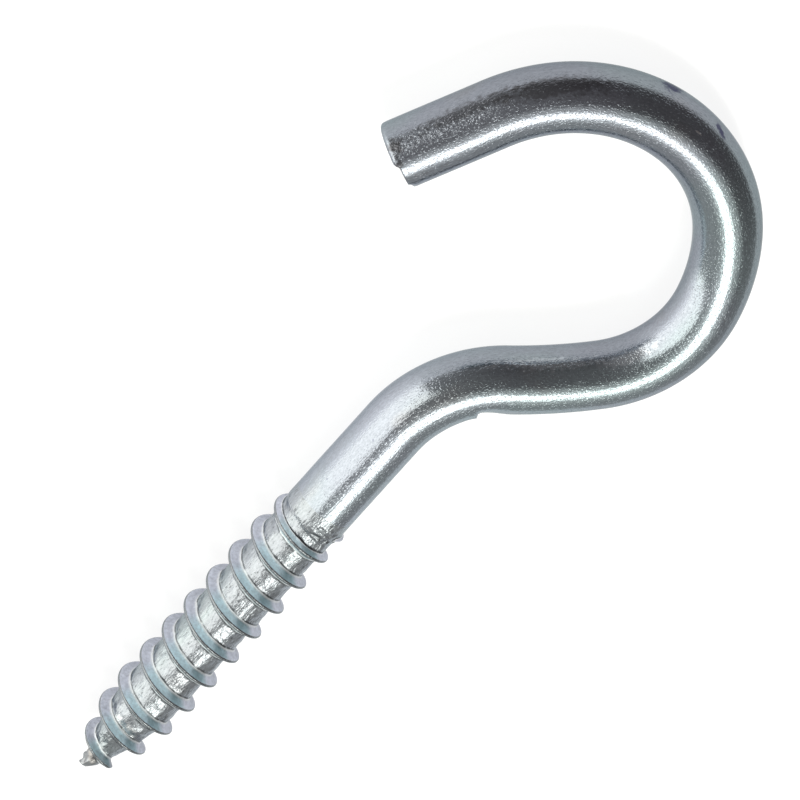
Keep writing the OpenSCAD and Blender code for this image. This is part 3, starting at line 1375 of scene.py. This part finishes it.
@dataclass(frozen=True)
class Softbox:
    """A lamp with a soft front, placed by its direction from the hook; tilt is how far it looks down."""

    name: str
    front: Front
    azimuth: float
    elevation: float
    tilt: float
    distance: float
    width: float
    height: float
    radiance: float
    colour: tuple[float, float, float]
    mirrored: bool = True

    def hang(self) -> bpy.types.Object:
        """Hangs the lamp.

        Returns:
            The lamp's object.
        """
        lamp = bpy.data.lights.new(self.name, "AREA")
        lamp.shape = self.front.value
        lamp.size = self.width
        area = self.width * self.height
        if self.front is Front.SQUARE:
            lamp.size_y = self.height
        else:
            area *= math.pi / 4.0
        lamp.energy = self.radiance * math.pi * area
        lamp.color = self.colour
        holder = stand(self.name, lamp)
        holder.location = direction(self.azimuth, self.elevation) * self.distance
        holder.rotation_euler = direction(self.azimuth, self.tilt).to_track_quat("Z", "Y").to_euler()
        holder.visible_camera = False
        holder.visible_glossy = self.mirrored
        return holder


@dataclass(frozen=True)
class Glow:
    """A soft patch of light on the walls and ceiling of the room."""

    azimuth: float
    elevation: float
    full_within: float
    gone_beyond: float
    colour: Colour


@dataclass
class Studio:
    """The pale floor, the lamps, the grey room and the camera."""

    floor_r: float = 3.0
    floor_sides: int = 64
    floor_colour: Colour = (0.18, 0.18, 0.18, 1.0)
    floor_lift: float = 0.82
    floor_ior: float = 1.75
    # Painted light and shade in the floor's reflections: its glow is dimmed on one side and lifted on the other.
    painted_shade_towards: float = -20.0
    painted_shade_from: float = -0.012
    painted_shade_to: float = 0.035
    painted_light_and_shade_range: Pair = (1.16, 0.78)
    # Painted shade in the floor's reflections: its glow is dimmed away from the hook.
    glow_fade_start: float = 0.055
    glow_fade_end: float = 0.1
    reflected_glow_far: float = 0.53
    reflected_glow_farther: float = 0.22
    floor_rough: float = 0.25
    room_dark: Colour = (0.122, 0.113, 0.115, 1.0)
    room_light: Colour = (0.545, 0.55, 0.53, 1.0)
    dark_azimuth: float = -17.0
    dark_elevation: float = 25.0
    dark_within: float = 18.0
    light_beyond: float = 110.0
    glows: tuple[Glow, ...] = (
        Glow(-138.0, 62.0, 12.0, 37.0, (0.61, 0.63, 0.58, 1.0)),
        Glow(34.0, 56.0, 8.0, 36.0, (0.056, 0.053, 0.053, 1.0)),
    )
    boxes: tuple[Softbox, ...] = (
        Softbox("softbox_over", Front.ROUND, -140.0, 61.0, 61.0, 0.55, 0.25, 0.25, 4.3, (0.96, 0.955, 0.88)),
        Softbox("softbox_side", Front.SQUARE, 112.0, 38.7, 0.0, 0.64, 0.75, 0.8, 2.1, (0.96, 0.955, 0.88)),
        Softbox("fill_front", Front.ROUND, 8.0, 22.0, 22.0, 0.7, 0.5, 0.5, 6.0, (0.98, 1.0, 1.0), mirrored=False),
    )
    eye: tuple[float, float, float] = (0.15357, 0.17007, 0.32017)
    right: tuple[float, float, float] = (0.61828, -0.77598, 0.12485)
    down: tuple[float, float, float] = (-0.68639, -0.45571, 0.56675)
    forward: tuple[float, float, float] = (-0.38289, -0.43610, -0.81438)
    focal_pixels: float = 4649.0
    image_side: float = 800.0
    sensor: float = 36.0
    centre_shift: float = 0.5
    clip: Pair = (0.01, 20.0)

    def lay_floor(self) -> bpy.types.Object:
        """Lays the floor.

        Returns:
            The floor's object.
        """
        bm = bmesh.new()
        bmesh.ops.create_circle(bm, cap_ends=True, segments=self.floor_sides, radius=self.floor_r)
        mesh = bpy.data.meshes.new("floor")
        bm.to_mesh(mesh)
        bm.free()
        floor = stand("floor", mesh)
        mesh.materials.append(self.floor_finish())
        return floor

    def floor_finish(self) -> bpy.types.Material:
        """Makes the floor's pale matt finish, clear from below. It glows evenly white to the camera; in reflections
        its glow is painted darker away from the hook and to one side, and lighter on the other: painted shade and
        light.

        Returns:
            The material.
        """
        material = bpy.data.materials.new("pale_floor")
        bench = bare_bench(material)
        path = bench.add("ShaderNodeLightPath")
        glossy = path.outputs["Is Glossy Ray"]
        seen = bench.math("MAXIMUM", path.outputs["Is Camera Ray"], path.outputs["Is Transmission Ray"])
        spot = bench.add("ShaderNodeTexCoord").outputs["Object"]
        far = bench.vector("LENGTH", spot, output="Value")
        # In reflections alone, the glow is painted darker with distance and to one side.
        beyond = bench.vector("DOT_PRODUCT", spot, direction(self.painted_shade_towards, 0.0), output="Value")
        near = bench.span(far, self.glow_fade_start, self.glow_fade_end, 1.0, self.reflected_glow_far)
        for fade in (
            bench.span(beyond, self.glow_fade_start, self.glow_fade_end, 1.0, self.reflected_glow_farther),
            bench.span(beyond, self.painted_shade_from, self.painted_shade_to, *self.painted_light_and_shade_range),
        ):
            near = bench.math("MULTIPLY", near, fade)
        mirrored = bench.math("MULTIPLY", glossy, near)
        paper = bench.add(
            "ShaderNodeBsdfPrincipled",
            {"Base Color": self.floor_colour, "Roughness": self.floor_rough, "IOR": self.floor_ior,
             "Emission Color": (1.0, 1.0, 1.0, 1.0),
             "Emission Strength": bench.math("MULTIPLY", bench.math("MAXIMUM", seen, mirrored), self.floor_lift)},
        )
        clear = bench.add("ShaderNodeBsdfTransparent")
        behind = bench.add("ShaderNodeNewGeometry").outputs["Backfacing"]
        both = bench.add("ShaderNodeMixShader", {0: behind, 1: paper.outputs[0], 2: clear.outputs[0]})
        bench.add("ShaderNodeOutputMaterial", {"Surface": both.outputs[0]})
        return material

    def paint_room(self) -> None:
        """Sets the world: a grey room, darkest on the side of the camera."""
        world = bpy.data.worlds.new("grey_room")
        bpy.context.scene.world = world
        bench = bare_bench(world)
        look = bench.add("ShaderNodeTexCoord").outputs["Generated"]
        darkness = self.lobe(bench, look, self.dark_azimuth, self.dark_elevation, self.dark_within, self.light_beyond)
        colour = bench.mix(darkness, self.room_light, self.room_dark)
        for glow in self.glows:
            share = self.lobe(bench, look, glow.azimuth, glow.elevation, glow.full_within, glow.gone_beyond)
            colour = bench.mix(share, colour, glow.colour, "ADD")
        back = bench.add("ShaderNodeBackground", {"Color": colour, "Strength": 1.0})
        bench.add("ShaderNodeOutputWorld", {"Surface": back.outputs[0]})

    def lobe(
        self, bench: NodeBench, look: Socket, azimuth: float, elevation: float, within: float, beyond: float
    ) -> Socket:
        """Masks the directions round one direction.

        Args:
            bench: The world's bench.
            look: The direction that is lit.
            azimuth: The middle's azimuth in degrees.
            elevation: The middle's elevation in degrees.
            within: The angle within which the mask is full, in degrees.
            beyond: The angle beyond which it is empty, in degrees.

        Returns:
            The mask.
        """
        facing = bench.vector("DOT_PRODUCT", look, direction(azimuth, elevation), output="Value")
        return bench.span(facing, math.cos(math.radians(beyond)), math.cos(math.radians(within)))

    def stand_camera(self) -> bpy.types.Object:
        """Stands the camera where the photograph was taken from.

        Returns:
            The camera's object.
        """
        data = bpy.data.cameras.new("camera")
        data.sensor_fit = "HORIZONTAL"
        data.sensor_width = self.sensor
        data.lens = self.focal_pixels / self.image_side * self.sensor
        data.shift_x = -self.centre_shift / self.image_side
        data.shift_y = self.centre_shift / self.image_side
        data.clip_start, data.clip_end = self.clip
        camera = stand("camera", data)
        turn = Matrix((self.right, -Vector(self.down), -Vector(self.forward))).transposed()
        camera.matrix_world = Matrix.Translation(self.eye) @ turn.to_4x4()
        bpy.context.scene.camera = camera
        return camera

    def build(self) -> None:
        """Builds the whole studio."""
        self.lay_floor()
        for box in self.boxes:
            box.hang()
        self.paint_room()
        self.stand_camera()
        bpy.context.scene.view_settings.view_transform = "Standard"


def main() -> None:
    """Builds the hook and the studio."""
    logging.basicConfig(level=logging.INFO, format="%(name)s: %(message)s")
    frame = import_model()
    LOG.info("frame holds %s", ", ".join(sorted(frame["nodes"])))
    hook = ScrewHook()
    piece = hook.build()
    hook.dress(piece, PlatingEffects())
    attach(piece, BODY)
    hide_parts(NODE)
    LOG.info("%s: %d faces", piece.name, len(piece.data.polygons))
    Studio().build()


if __name__ == "__main__":
    main()
